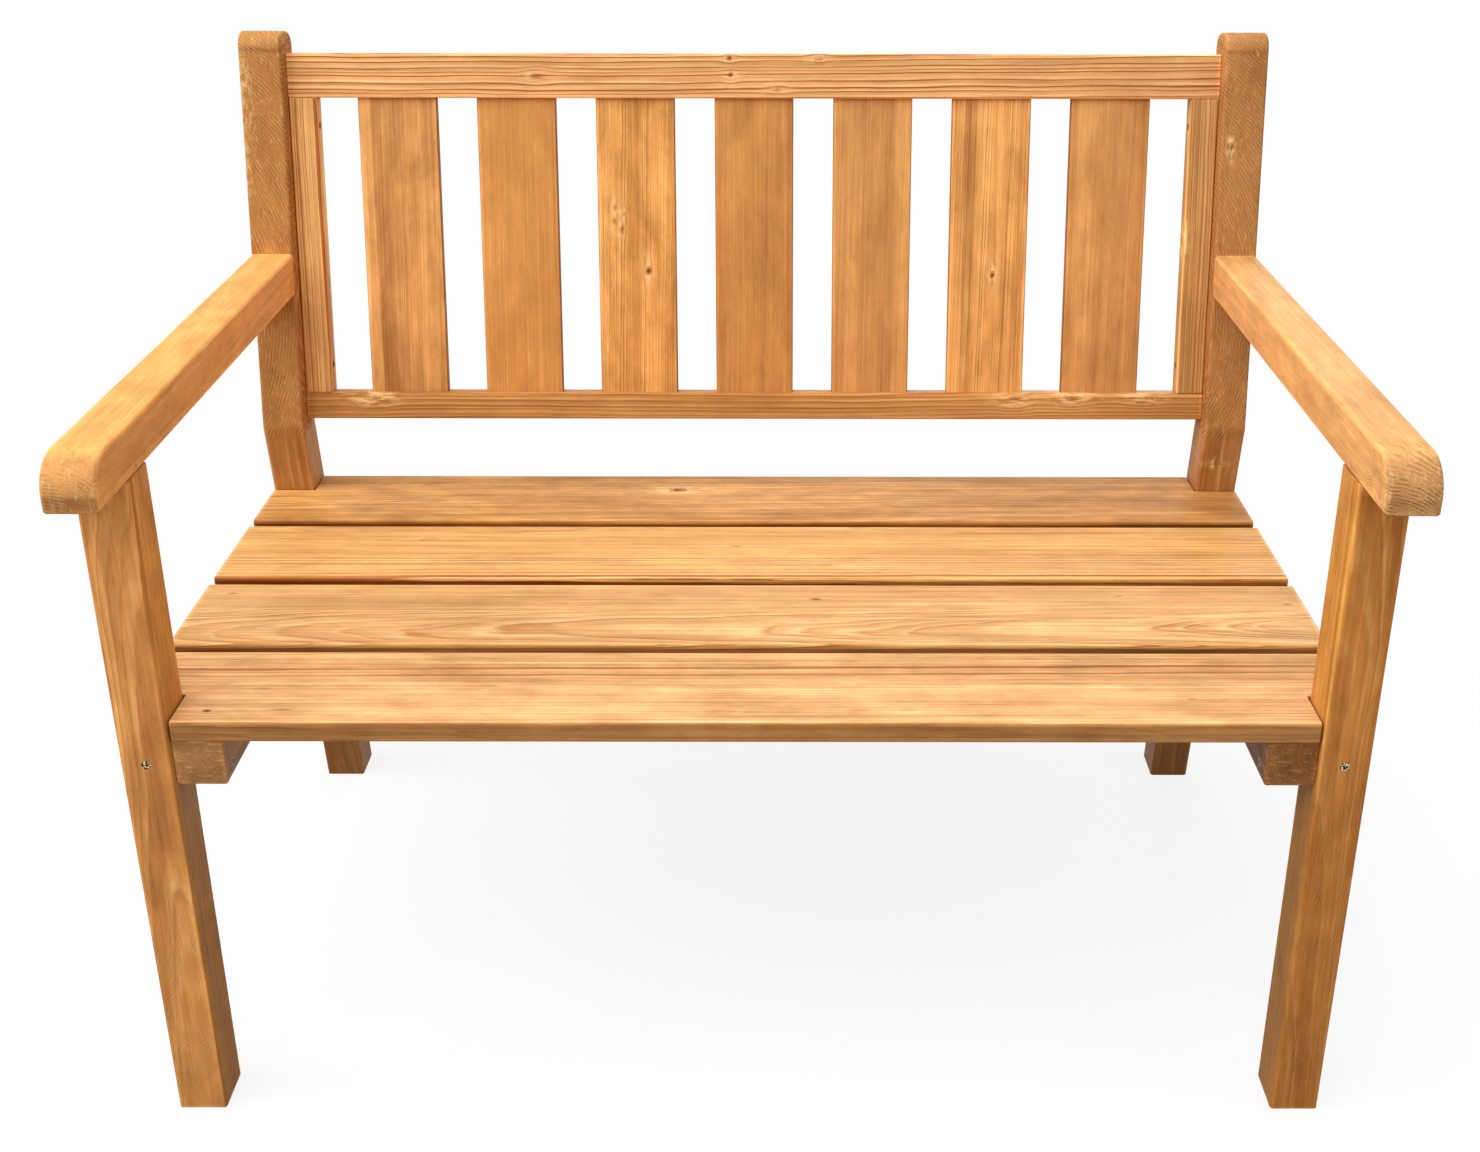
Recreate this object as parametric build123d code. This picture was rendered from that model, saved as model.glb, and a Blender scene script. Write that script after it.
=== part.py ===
"""Slatted two-seat garden settle in softwood.

Lengths are in millimetres and angles in degrees. +X is to the sitter's left, which is the right of the
front view, the front of the seat faces -Y, +Z is up and the legs stand on z = 0. While the pieces are
made, y = 0 is the front face of the front legs; the finished set is moved at the end so that the origin
is the middle of the footprint. Pieces called left are on the -X side, the left of the front view.
"""
import math
import os

from build123d import *

# Frame
overall_width = 1090.0
leg_section = 45.0
front_leg_height = 657.0
edge_round = 3.0
end_round = 1.0

# Rear legs: one piece each, bent at a knee above the seat
knee_rise = 81.0
lean_angle = 9.5
splay_angle = 9.3
post_length = 430.0
post_top_round = 16.0
knee_round = 20.0

# Armrests, on a stub tenon of the front leg
arm_thickness = 45.0
arm_overhang = 58.0
arm_nose_round = 32.0
arm_edge_round = 4.0
leg_tenon_width = 30.0
leg_tenon_depth = 25.0
leg_tenon_length = 28.0

# Seat
seat_height = 430.0
board_thickness = 20.0
board_width = 120.0
board_gap = 13.0
board_count = 4
board_setback = 1.5
board_round = 2.5
post_lap = 40.2
notch_side_gap = 2.0
notch_back_gap = 1.5
bearer_width = 45.0
bearer_height = 45.0
bearer_setback = 4.0
batten_width = 70.0
batten_thickness = 20.0
batten_margin = 60.0

# Back panel
panel_setback = 18.0
panel_thickness = 20.0
top_rail_height = 47.0
top_rail_drop = 23.0
bottom_rail_height = 30.0
bottom_rail_rise = 7.0
stile_width = 30.0
stile_tenon_inset = 5.0
slat_count = 7
slat_width = 85.0
slat_thickness = 10.0
slat_housing = 10.0
slat_round = 1.5

# Wood screws: shank and head diameters, head and point heights, length
screw_shank = 4.5
screw_head = 8.5
screw_head_height = 2.6
screw_point_height = 5.0
hole_slack = 0.1
frame_screw_length = 80.0
stile_screw_length = 50.0
screw_cover = 5.0
recess_width = 1.0
recess_span = 4.6
recess_depth = 1.6
stile_counterbore = 7.5
stile_counterbore_depth = 8.0
stile_screw_margin = 30.0
seat_screw_margin = 30.0
batten_screw_spread = 20.0
bearer_screw_rise = 12.0

# Armrest pegs
peg_diameter = 4.0
peg_length = 30.0
peg_rise = 6.0

# Derived places
half_width = overall_width / 2
leg_inner = half_width - leg_section
leg_centre = half_width - leg_section / 2
lean = math.radians(lean_angle)
splay = math.radians(splay_angle)
board_underside = seat_height - board_thickness
bearer_underside = board_underside - bearer_height
arm_top_height = front_leg_height + arm_thickness
board_pitch = board_width + board_gap
seat_back = board_setback + board_count * board_pitch - board_gap
knee_height = seat_height + knee_rise
# the last board reaches past the front faces of the rear legs by the post lap
knee_setback = seat_back - post_lap - knee_rise * math.tan(splay)
top_rail_top = post_length - top_rail_drop
top_rail_bottom = top_rail_top - top_rail_height
bottom_rail_top = bottom_rail_rise + bottom_rail_height
stile_inner = leg_inner - stile_width
slat_gap = (2 * stile_inner - slat_count * slat_width) / (slat_count + 1)
slat_front = (panel_thickness - slat_thickness) / 2
seat_screw_length = bearer_height + board_thickness - screw_cover
batten_screw_length = batten_thickness + board_thickness - screw_cover


def post_front(height):
    """y of a rear leg's front face at a height."""
    if height > knee_height:
        return knee_setback + (height - knee_height) * math.tan(lean)
    return knee_setback + (knee_height - height) * math.tan(splay)


def block(x0, x1, y0, y1, z0, z1):
    """Box between two corners."""
    return Pos((x0 + x1) / 2, (y0 + y1) / 2, (z0 + z1) / 2) * Box(x1 - x0, y1 - y0, z1 - z0)


def eased(solid, grain, along, ends):
    """Round the four edges along the grain, then the edges of both sawn ends."""
    solid = fillet(solid.edges().filter_by(grain), radius=along)
    first = solid.faces().sort_by(grain)[0].edges()
    last = solid.faces().sort_by(grain)[-1].edges()
    return fillet(first + last, radius=ends)


def side_profile(points, x0, x1):
    """Outline in the Y-Z plane made solid from x0 to x1."""
    face = make_face(Polyline(*[(x0, y, z) for y, z in points], close=True))
    return extrude(face, amount=x1 - x0, dir=(1, 0, 0))


def mirrored(solid):
    """The same piece on the other side of the seat."""
    return mirror(solid, about=Plane.YZ)


# Front legs


def front_leg():
    leg = block(-half_width, -leg_inner, 0, leg_section, 0, front_leg_height)
    leg = eased(leg, Axis.Z, edge_round, end_round)
    tenon = block(
        -leg_centre - leg_tenon_width / 2,
        -leg_centre + leg_tenon_width / 2,
        (leg_section - leg_tenon_depth) / 2,
        (leg_section + leg_tenon_depth) / 2,
        front_leg_height - leg_section,
        front_leg_height + leg_tenon_length,
    )
    return leg + tenon


def leg_mortise():
    return block(
        -leg_centre - leg_tenon_width / 2,
        -leg_centre + leg_tenon_width / 2,
        (leg_section - leg_tenon_depth) / 2,
        (leg_section + leg_tenon_depth) / 2,
        front_leg_height,
        front_leg_height + leg_tenon_length,
    )


# Rear legs


def rear_leg():
    up = (math.sin(lean), math.cos(lean))
    knee = (knee_setback, knee_height)
    foot_front = (knee_setback + knee_height * math.tan(splay), 0)
    top_front = (knee[0] + post_length * up[0], knee[1] + post_length * up[1])
    top_back = (top_front[0] + leg_section * up[1], top_front[1] - leg_section * up[0])
    foot_back = (foot_front[0] + leg_section / math.cos(splay), 0)
    # the back faces are parallel to the front ones and meet on the bisector of the knee
    half_bend = (lean + splay) / 2
    reach = leg_section / math.cos(half_bend)
    tilt = (lean - splay) / 2
    knee_back = (knee[0] + reach * math.cos(tilt), knee[1] - reach * math.sin(tilt))
    points = [foot_front, knee, top_front, top_back, knee_back, foot_back]
    leg = side_profile(points, -half_width, -leg_inner)
    across = leg.edges().filter_by(Axis.X)

    def edge_at(point):
        return across.sort_by_distance((-leg_centre, point[0], point[1]))[0]

    leg = fillet([edge_at(knee), edge_at(knee_back)], radius=knee_round)
    across = leg.edges().filter_by(Axis.X)
    leg = fillet([edge_at(top_front), edge_at(top_back)], radius=post_top_round)
    rims = leg.edges().filter_by(lambda e: abs(e.center().X + half_width) < end_round)
    rims += leg.edges().filter_by(lambda e: abs(e.center().X + leg_inner) < end_round)
    rims = rims.filter_by(lambda e: e.center().Z > end_round)
    leg = fillet(rims, radius=edge_round)
    return fillet(leg.faces().sort_by(Axis.Z)[0].edges(), radius=end_round)


# Armrests


def armrest():
    front = -arm_overhang
    points = [
        (front, front_leg_height),
        (front, arm_top_height),
        (post_front(arm_top_height), arm_top_height),
        (post_front(front_leg_height), front_leg_height),
    ]
    arm = side_profile(points, -half_width, -leg_inner)
    nose = arm.edges().filter_by(Axis.X).sort_by_distance((-leg_centre, front, arm_top_height))[0]
    arm = fillet(nose, radius=arm_nose_round)
    back = arm.faces().sort_by(Axis.Y)[-1]
    back_rim = [edge.center() for edge in back.edges()]

    def is_rim(edge):
        middle = edge.center()
        if min(abs(middle.X + half_width), abs(middle.X + leg_inner)) > end_round:
            return False
        return min((middle - point).length for point in back_rim) > end_round

    arm = fillet(arm.edges().filter_by(is_rim), radius=arm_edge_round)
    toe = arm.edges().filter_by(Axis.X).sort_by_distance((-leg_centre, front, front_leg_height))[0]
    return fillet(toe, radius=end_round)


# Seat


def side_rail():
    low = bearer_underside
    high = board_underside
    points = [
        (leg_section, low),
        (leg_section, high),
        (post_front(high), high),
        (post_front(low), low),
    ]
    rail = side_profile(points, -half_width, -leg_inner)
    long_edges = rail.edges().filter_by(Axis.Y)
    return fillet(long_edges, radius=edge_round)


def seat_bearer():
    bearer = block(
        -leg_inner,
        -leg_inner + bearer_width,
        bearer_setback,
        seat_back,
        bearer_underside,
        board_underside,
    )
    return eased(bearer, Axis.Y, edge_round, end_round)


def seat_board(index):
    front = board_setback + index * board_pitch
    back = front + board_width
    board = block(-half_width, half_width, front, back, board_underside, seat_height)
    board = eased(board, Axis.X, board_round, end_round)
    inner = leg_inner - notch_side_gap
    notches = []
    leg_back = leg_section + notch_back_gap
    if front < leg_back:
        notches.append((front - board_gap, leg_back))
    post_face = post_front(seat_height) - notch_back_gap
    if back > post_face:
        notches.append((post_face, back + board_gap))
    for low, high in notches:
        for x0, x1 in ((-overall_width, -inner), (inner, overall_width)):
            board -= block(x0, x1, low, high, 0, seat_height + board_thickness)
    return board


def centre_batten():
    batten = block(
        -batten_width / 2,
        batten_width / 2,
        board_setback + batten_margin,
        seat_back - batten_margin,
        board_underside - batten_thickness,
        board_underside,
    )
    return eased(batten, Axis.Y, board_round, end_round)


# Back panel, made upright in its own frame: x across, y back from the posts' front faces, z up from the
# knee, then leant back with the posts

panel_frame = Pos(0, knee_setback, knee_height) * Rot(X=-lean_angle)
panel_back = panel_setback + panel_thickness
slat_face = panel_setback + slat_front
slat_back = slat_face + slat_thickness


def leant(depth, rise):
    """y and z of a point of the panel, from its depth behind the posts' front and its rise from the knee."""
    y = knee_setback + rise * math.sin(lean) + depth * math.cos(lean)
    return y, knee_height + rise * math.cos(lean) - depth * math.sin(lean)


def slat_span(index):
    start = -stile_inner + slat_gap + index * (slat_width + slat_gap)
    return start, start + slat_width


def slat_housings(low, high):
    """Pockets for the ends of the slats and the tenons of the stiles."""
    pockets = []
    for index in range(slat_count):
        x0, x1 = slat_span(index)
        pockets.append(block(x0, x1, slat_face, slat_back, low, high))
    for side in (-1, 1):
        x0, x1 = sorted((side * (stile_inner + stile_tenon_inset), side * (leg_inner - stile_tenon_inset)))
        pockets.append(block(x0, x1, slat_face, slat_back, low, high))
    return pockets


def rail(low, high, pocket_low, pocket_high):
    piece = block(-leg_inner, leg_inner, panel_setback, panel_back, low, high)
    piece = eased(piece, Axis.X, board_round, end_round)
    for pocket in slat_housings(pocket_low, pocket_high):
        piece -= pocket
    return panel_frame * piece


def back_stile():
    stile = block(-leg_inner, -stile_inner, panel_setback, panel_back, bottom_rail_top, top_rail_bottom)
    stile = eased(stile, Axis.Z, board_round, end_round)
    stile += block(
        -leg_inner + stile_tenon_inset,
        -stile_inner - stile_tenon_inset,
        slat_face,
        slat_back,
        bottom_rail_top - slat_housing,
        top_rail_bottom + slat_housing,
    )
    return panel_frame * stile


def back_slat(index):
    x0, x1 = slat_span(index)
    slat = block(x0, x1, slat_face, slat_back, bottom_rail_top - slat_housing, top_rail_bottom + slat_housing)
    # the long edges are rounded between the rails and stay square inside the housings
    clear = block(x0, x1, slat_face, slat_back, bottom_rail_top, top_rail_bottom)
    clear = fillet(clear.edges().filter_by(Axis.Z), radius=slat_round)
    ends = block(x0, x1, slat_face, slat_back, bottom_rail_top - slat_housing, bottom_rail_top)
    ends += block(x0, x1, slat_face, slat_back, top_rail_bottom, top_rail_bottom + slat_housing)
    slat = clear + ends
    return panel_frame * slat


# Screws: the head's top is at the origin and the point runs down -Z


def screw_body(length, slack=0):
    """A plain screw, or with slack the hole that takes it."""
    shank_radius = screw_shank / 2 + slack
    shank_length = length - screw_head_height - screw_point_height + slack
    outline = Polyline(
        (0, 0),
        (screw_head / 2 + slack, 0),
        (shank_radius, -screw_head_height),
        (shank_radius, -screw_head_height - shank_length),
        (0, -length - slack),
        close=True,
    )
    return revolve(Plane.XZ * make_face(outline), Axis.Z)


def screw(length):
    body = screw_body(length)
    for span_x, span_y in ((recess_span, recess_width), (recess_width, recess_span)):
        body -= Pos(0, 0, -recess_depth / 2) * Box(span_x, span_y, recess_depth)
    return body


def aimed(point, direction):
    """Place for a screw whose head is at a point and which runs in a direction."""
    dx, dy, dz = direction
    across = (1, 0, 0) if dz else (0, 0, 1)
    return Plane(origin=point, x_dir=across, z_dir=(-dx, -dy, -dz)).location


def both_sides(places):
    """Each place on the left and its mirror image on the right."""
    pairs = []
    for point, direction, pieces in places:
        for side, name in ((1, "left"), (-1, "right")):
            pairs.append((
                (side * point[0], point[1], point[2]),
                (side * direction[0], direction[1], direction[2]),
                [piece.replace("left", name) for piece in pieces],
            ))
    return pairs


rail_middle = (bearer_underside + board_underside) / 2
arm_middle = front_leg_height + arm_thickness / 2
bearer_screw_height = bearer_underside + bearer_screw_rise
lower_face = (0, -math.cos(splay), -math.sin(splay))
upper_face = (0, -math.cos(lean), math.sin(lean))


def back_face_point(height, normal):
    """Point on the back of a rear leg, straight behind its front face at a height."""
    return (
        -leg_centre,
        post_front(height) - leg_section * normal[1],
        height - leg_section * normal[2],
    )


frame_screws = [
    ((-leg_centre, 0, rail_middle), (0, 1, 0), ["front_leg_left", "side_rail_left"]),
    (back_face_point(rail_middle, lower_face), lower_face, ["rear_leg_left", "side_rail_left"]),
    (back_face_point(arm_middle, upper_face), upper_face, ["rear_leg_left", "armrest_left"]),
]
bearer_face = -leg_inner + bearer_width
bearer_screw_ys = {
    leg_section / 2: "front_leg_left",
    (leg_section + post_front(rail_middle)) / 2: "side_rail_left",
    (post_front(bearer_screw_height) + seat_back) / 2: "rear_leg_left",
}
for screw_y, fixed_to in bearer_screw_ys.items():
    place = (bearer_face, screw_y, bearer_screw_height)
    frame_screws.append((place, (-1, 0, 0), ["seat_bearer_left", fixed_to]))
frame_screws = both_sides(frame_screws)

seat_screws = []
batten_screws = []
for board_index in range(board_count):
    board_name = "seat_board_%d" % (board_index + 1)
    board_front = board_setback + board_index * board_pitch
    for screw_y in (board_front + seat_screw_margin, board_front + board_width - seat_screw_margin):
        for side, name in ((-1, "left"), (1, "right")):
            place = (side * (leg_inner - bearer_width / 2), screw_y, bearer_underside)
            seat_screws.append((place, (0, 0, 1), ["seat_bearer_" + name, board_name]))
    batten_y = board_front + board_width / 2
    if board_index == 0:
        batten_y = board_front + board_width - seat_screw_margin
    if board_index == board_count - 1:
        batten_y = board_front + seat_screw_margin
    for side in (-1, 1):
        place = (side * batten_screw_spread, batten_y, board_underside - batten_thickness)
        batten_screws.append((place, (0, 0, 1), ["seat_centre_batten", board_name]))

stile_screws = []
for rise in (bottom_rail_top + stile_screw_margin, top_rail_bottom - stile_screw_margin):
    screw_y, screw_z = leant(panel_setback + panel_thickness / 2, rise)
    point = (-stile_inner - stile_counterbore_depth, screw_y, screw_z)
    stile_screws.append((point, (-1, 0, 0), ["back_stile_left", "rear_leg_left"]))
stile_screws = both_sides(stile_screws)

screw_sets = {
    "frame_screws": (frame_screw_length, frame_screws),
    "seat_screws": (seat_screw_length, seat_screws),
    "stile_screws": (stile_screw_length, stile_screws),
    "batten_screws": (batten_screw_length, batten_screws),
}

# Timber pieces

nodes = {}
for name, piece in (
    ("front_leg", front_leg()),
    ("rear_leg", rear_leg()),
    ("armrest", armrest() - leg_mortise()),
    ("side_rail", side_rail()),
    ("seat_bearer", seat_bearer()),
    ("back_stile", back_stile()),
):
    nodes[name + "_left"] = piece
    nodes[name + "_right"] = mirrored(piece)
for board_index in range(board_count):
    nodes["seat_board_%d" % (board_index + 1)] = seat_board(board_index)
nodes["seat_centre_batten"] = centre_batten()
nodes["back_top_rail"] = rail(top_rail_bottom, top_rail_top, top_rail_bottom, top_rail_bottom + slat_housing)
nodes["back_bottom_rail"] = rail(
    bottom_rail_rise, bottom_rail_top, bottom_rail_top - slat_housing, bottom_rail_top
)
for slat_index in range(slat_count):
    nodes["back_slat_%d" % (slat_index + 1)] = back_slat(slat_index)

# Screws, pegs through the armrests' inner faces and the leg tenons, and the holes of both

holes = {name: [] for name in nodes}
for node, (length, places) in screw_sets.items():
    bodies = []
    for point, direction, pieces in places:
        place = aimed(point, direction)
        bodies.append(place * screw(length))
        for piece in pieces:
            holes[piece].append(place * screw_body(length, hole_slack))
        if node == "stile_screws":
            depth = stile_counterbore_depth
            bore = Pos(0, 0, depth / 2) * Cylinder(stile_counterbore / 2, depth)
            holes[pieces[0]].append(place * bore)
    nodes[node] = Compound(children=bodies)

pegs = []
for side, name in ((-1, "left"), (1, "right")):
    middle = Pos(side * (leg_inner + peg_length / 2), leg_section / 2, front_leg_height + peg_rise)
    peg_hole = middle * Rot(Y=90) * Cylinder(peg_diameter / 2 + hole_slack, peg_length + 2 * hole_slack)
    holes["armrest_" + name].append(peg_hole)
    holes["front_leg_" + name].append(peg_hole)
    pegs.append(middle * Rot(Y=90) * Cylinder(peg_diameter / 2, peg_length))
nodes["armrest_pegs"] = Compound(children=pegs)

for name, cuts in holes.items():
    if cuts:
        nodes[name] -= cuts

# Origin to the middle of the footprint, on the floor

low_y = min(node.bounding_box().min.Y for node in nodes.values())
high_y = max(node.bounding_box().max.Y for node in nodes.values())
to_origin = Pos(0, -(low_y + high_y) / 2, 0)

os.makedirs("parts", exist_ok=True)
for name, node in nodes.items():
    export_step(to_origin * node, "parts/%s.step" % name)
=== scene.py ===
"""Looks of the slatted softwood settle: timber, pegs and screws, with a pale studio round them."""
import math

import bpy
from mathutils import Matrix, Vector


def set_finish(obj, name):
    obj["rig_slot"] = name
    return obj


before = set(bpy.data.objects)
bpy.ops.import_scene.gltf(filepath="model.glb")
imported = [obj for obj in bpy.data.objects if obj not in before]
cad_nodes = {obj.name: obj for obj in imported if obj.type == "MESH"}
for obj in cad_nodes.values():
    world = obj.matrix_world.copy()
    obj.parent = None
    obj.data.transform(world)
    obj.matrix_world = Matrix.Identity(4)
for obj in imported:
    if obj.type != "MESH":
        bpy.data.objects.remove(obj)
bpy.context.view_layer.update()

# Angles of the rear legs and the back panel, in degrees from upright
LEAN = 9.5
SPLAY = 9.3

# The photograph's camera: focal length and principal point in pixels of its frame, angles in degrees
PHOTO_WIDTH = 1480
PHOTO_HEIGHT = 1152
FOCAL_PIXELS = 1639.36
PRINCIPAL_X = 785.1
PRINCIPAL_Y = 400.0
CAMERA_YAW = 0.071
CAMERA_PITCH = 21.633
CAMERA_ROLL = -0.121
CAMERA_PLACE = (0.0320, -1.4800, 1.2111)
SENSOR_WIDTH = 36.0
CLIP_START = 0.05
CLIP_END = 100.0

# Lamps: the place of each and the point that it shines on, its width, and its power in watts
LAMPS = {
    "key": {"place": (-1.2, -1.6, 3.6), "target": (0.0, 0.0, 0.45), "size": 4.0, "power": 112.0},
    "left": {"place": (-3.0, -0.4, 2.6), "target": (0.0, 0.0, 0.5), "size": 1.5, "power": 40.0},
    "right": {"place": (2.4, -1.0, 3.0), "target": (0.0, 0.0, 0.5), "size": 1.6, "power": 9.0},
    "back": {"place": (0.6, 2.8, 1.5), "target": (0.0, 0.0, 0.5), "size": 2.4, "power": 20.0},
}
LAMP_COLOR = (1.0, 1.0, 0.99)

# Floor and surround: the floor's own white rises to full between two distances from the middle
WHITE = (1.0, 1.0, 1.0, 1.0)
FLOOR_SIZE = 60.0
FLOOR_FADE = (0.4, 1.3)
FLOOR_NEAR = 0.82
FLOOR_TONE = (0.3, 0.3, 0.3, 1.0)
WORLD_LEVEL = 0.45


def srgb(red, green, blue):
    """Linear colour with alpha, from the 0 to 255 values of a display colour."""
    linear = []
    for value in (red, green, blue):
        share = value / 255
        linear.append(share / 12.92 if share <= 0.04045 else ((share + 0.055) / 1.055) ** 2.4)
    return (*linear, 1.0)


# Noises with scales of their own along the grain, across it and through the piece
SWAY_NOISE = {"scales": (2.2, 9.0, 9.0)}
RUFFLE_NOISE = {"scales": (14.0, 60.0, 60.0)}
VIGOUR_NOISE = {"scales": (5.0, 70.0, 70.0)}
FIBRE_NOISE = {"scales": (18.0, 900.0, 900.0), "detail": 3.0, "roughness": 0.6}
STREAK_NOISE = {"scales": (3.0, 120.0, 120.0), "detail": 3.0, "roughness": 0.6}
THREAD_NOISE = {"scales": (4.0, 380.0, 380.0), "roughness": 0.6}
BAND_NOISE = {"scales": (1.2, 30.0, 30.0)}
PATCH_NOISE = {"scales": (9.0, 24.0, 24.0), "detail": 4.0, "roughness": 0.6, "distortion": 0.6}
CLOUD_NOISE = {"scales": (26.0, 60.0, 60.0), "detail": 3.0, "roughness": 0.6, "distortion": 0.3}
PIT_NOISE = {"scales": (70.0, 700.0, 700.0)}
TORN_NOISE = {"scales": (55.0, 330.0, 330.0), "detail": 3.0, "roughness": 0.65, "distortion": 0.6}
SAW_NOISE = {"scales": (40.0, 40.0, 40.0)}
SAW_GAP_NOISE = {"scales": (70.0, 120.0, 120.0), "roughness": 0.6}
SCUFF_NOISE = {"scales": (90.0, 340.0, 75.0), "detail": 3.0, "roughness": 0.65, "distortion": 0.8}
WISP_NOISE = {"scales": (60.0, 330.0, 330.0), "detail": 3.0, "roughness": 0.6}
ZONE_SCALES = (3.0, 40.0, 40.0)

# Noises that are alike in every direction, and one along a line
PORE_NOISE = {"scale": 700.0, "detail": 3.0, "roughness": 0.7}
CHAFE_NOISE = {"scale": 60.0, "detail": 3.0, "roughness": 0.6}
SWIRL_NOISE = {"scale": 420.0, "roughness": 0.6}
RIPPLE_NOISE = {"scale": 260.0}
UNEVEN_NOISE = {"scale": 0.45, "detail": 1.0, "dimensions": "1D"}
STEEL_NOISE = {"scale": 520.0, "detail": 3.0, "roughness": 0.6}
NOISE_MIDDLE = 0.5
NOISE_CENTRE = (0.5, 0.5, 0.5)
SEED_STEP = (3.1, 5.3, 7.7)

# Smooth steps: where each starts and where it is complete
LATE_START = (0.66, 0.88)
LATE_STOP = (1.0, 0.94)
EARLY_HIGHLIGHT_START = (0.0, 0.1)
EARLY_HIGHLIGHT_STOP = (0.5, 0.14)
FLAT_STEP = (0.95, 1.0)
PINK_STEP = (0.52, 0.7)
PIT_STEP = (0.68, 0.78)
SAW_GAP_STEP = (0.4, 0.62)
TORN_STEP = (0.56, 0.76)
SIDE_SHADING_STEP = (0.35, 0.7)
GAP_SHADE_STEP = (0.0066, 0.0056)
FRONT_STEP = (-0.6, -0.9)
END_STEP = (0.25, 0.6)
SCUFF_STEP = (0.54, 0.68)
BLOT_STEP = (0.52, 0.36)
UNDERSIDE_SHADE_STEP = (0.0, -0.006)
UNDERSIDE_SHADE_FACE_STEP = (0.5, 0.8)
ARRIS_STEP = (0.003, 0.0)

# Growth rings: how far they wander, how their strength varies, and what hides them
RUFFLE = 0.0022
RING_UNEVENNESS = 2.2
YEAR_SWING = 0.7
YEAR_LEAST = 0.35
VIGOUR_SWING = 1.8
FLAT_CALM = 0.5
SAW_HIDES = 0.75
END_HIDES = 0.7

# Brightness: how far each noise swings it, and the powers that warm what is darker
FIBRE_SWING = 0.3
STREAK_SWING = 0.48
BAND_SWING = 0.4
THREAD_SWING = 0.65
CLOUD_SHARE = 0.6
GREEN_POWER = 1.22
BLUE_POWER = 1.5

# Strength of each detail
EARLY_HIGHLIGHT_SHARE = 0.45
PINK_SHARE = 0.16
PIT_SHARE = 0.35
RIDGE_SHARE = 0.3
GROOVE_SHARE = 0.32
TORN_SHARE = 0.06
TORN_SAWN_SHARE = 0.45
HALO_SHARE = 0.75
CORE_SHARE = 0.85
RING_SHARE = 0.5
END_SHARE = 0.75
PORE_SWING = 1.0
PORE_LEAST = 0.45
SCUFF_SHARE = 0.75
BLOT_SHARE = 0.6
ARRIS_HIGHLIGHT_SHARE = 0.4

# How far the edges of details wander, in metres
SAW_WANDER = 0.004
UNDERSIDE_SHADE_WANDER = 0.012
ARRIS_WANDER = -0.004

# Tones that details are mixed towards
EARLY_HIGHLIGHT_TONE = srgb(255, 214, 150)
PINK_TONE = srgb(196, 128, 84)
RIDGE_TONE = srgb(244, 190, 124)
TORN_TONE = srgb(246, 196, 132)
CORE_DARK = srgb(78, 34, 12)
CORE_PALE = srgb(172, 92, 38)
HALO_TONE = srgb(255, 210, 146)
RING_TONE = srgb(136, 66, 24)
END_TONE = srgb(184, 128, 82)
SCUFF_TONE = srgb(252, 214, 160)

# Factors that details multiply the colour by
PIT_FACTOR = (0.5, 0.4, 0.3, 1.0)
GROOVE_FACTOR = (0.55, 0.45, 0.36, 1.0)
GAP_SHADE_FACTOR = (0.55, 0.45, 0.32, 1.0)
BLOT_FACTOR = (0.62, 0.54, 0.46, 1.0)
UNDERSIDE_SHADE_FACTOR = (0.5, 0.42, 0.34, 1.0)
ARRIS_HIGHLIGHT_FACTOR = (1.5, 1.5, 1.45, 1.0)

# Relief: the weight of each detail in the surface's height, and the height in metres
LATE_RELIEF = 0.7
FIBRE_RELIEF = 0.5
SAW_RELIEF = 0.6
TORN_RELIEF = 1.5
PIT_RELIEF = -0.3
KNOT_RELIEF = -0.8
PORE_RELIEF = 1.2
RELIEF_HEIGHT = 0.00025

# Gloss of the timber: its roughness and what adds to it
ROUGHNESS = 0.42
FIBRE_ROUGHNESS = 0.2
SAWN_ROUGHNESS = 0.2
LATE_ROUGHNESS = -0.08
TIMBER_IOR = 1.45
TIMBER_SPECULAR = 0.16

# Knots: raggedness, steps over the reach, the grain's push, and squeeze of its parting and the halo
KNOT_RAGGED = 1.1
KNOT_CORE = (1.0, 0.5)
KNOT_RING_START = (0.75, 1.0)
KNOT_RING_STOP = (1.45, 1.05)
KNOT_PUSH = 0.75
KNOT_PARTING = (0.3, 0.36, 0.0)
KNOT_HALO = (0.24, 0.5, 0.0)
KNOT_WISPS = (0.42, 0.6)

# Powers that warm a side darkened by painted shade, for green and blue: of its tint, and of the zones along
# it
SIDE_SHADING_POWERS = (1.4, 1.9)
SIDE_SHADING_ZONE_POWERS = (1.25, 1.9)

# Factors are kept in a colour ramp as shares of this, so that its colours stay under 1
RAMP_TOP = 2.0

# Screw steel: step between its two tones, relief, roughness, and the distance from the settle's
# middle plane, in metres, over which the stain on a screw head ends
STEEL_CLOUD = (0.46, 0.6)
STEEL_RELIEF = 0.4
STEEL_HEIGHT = 0.0001
STEEL_ROUGHNESS = 0.25
STEEL_ROUGH_SWING = 0.3
STAIN_END = (0.5, 0.51)


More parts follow.
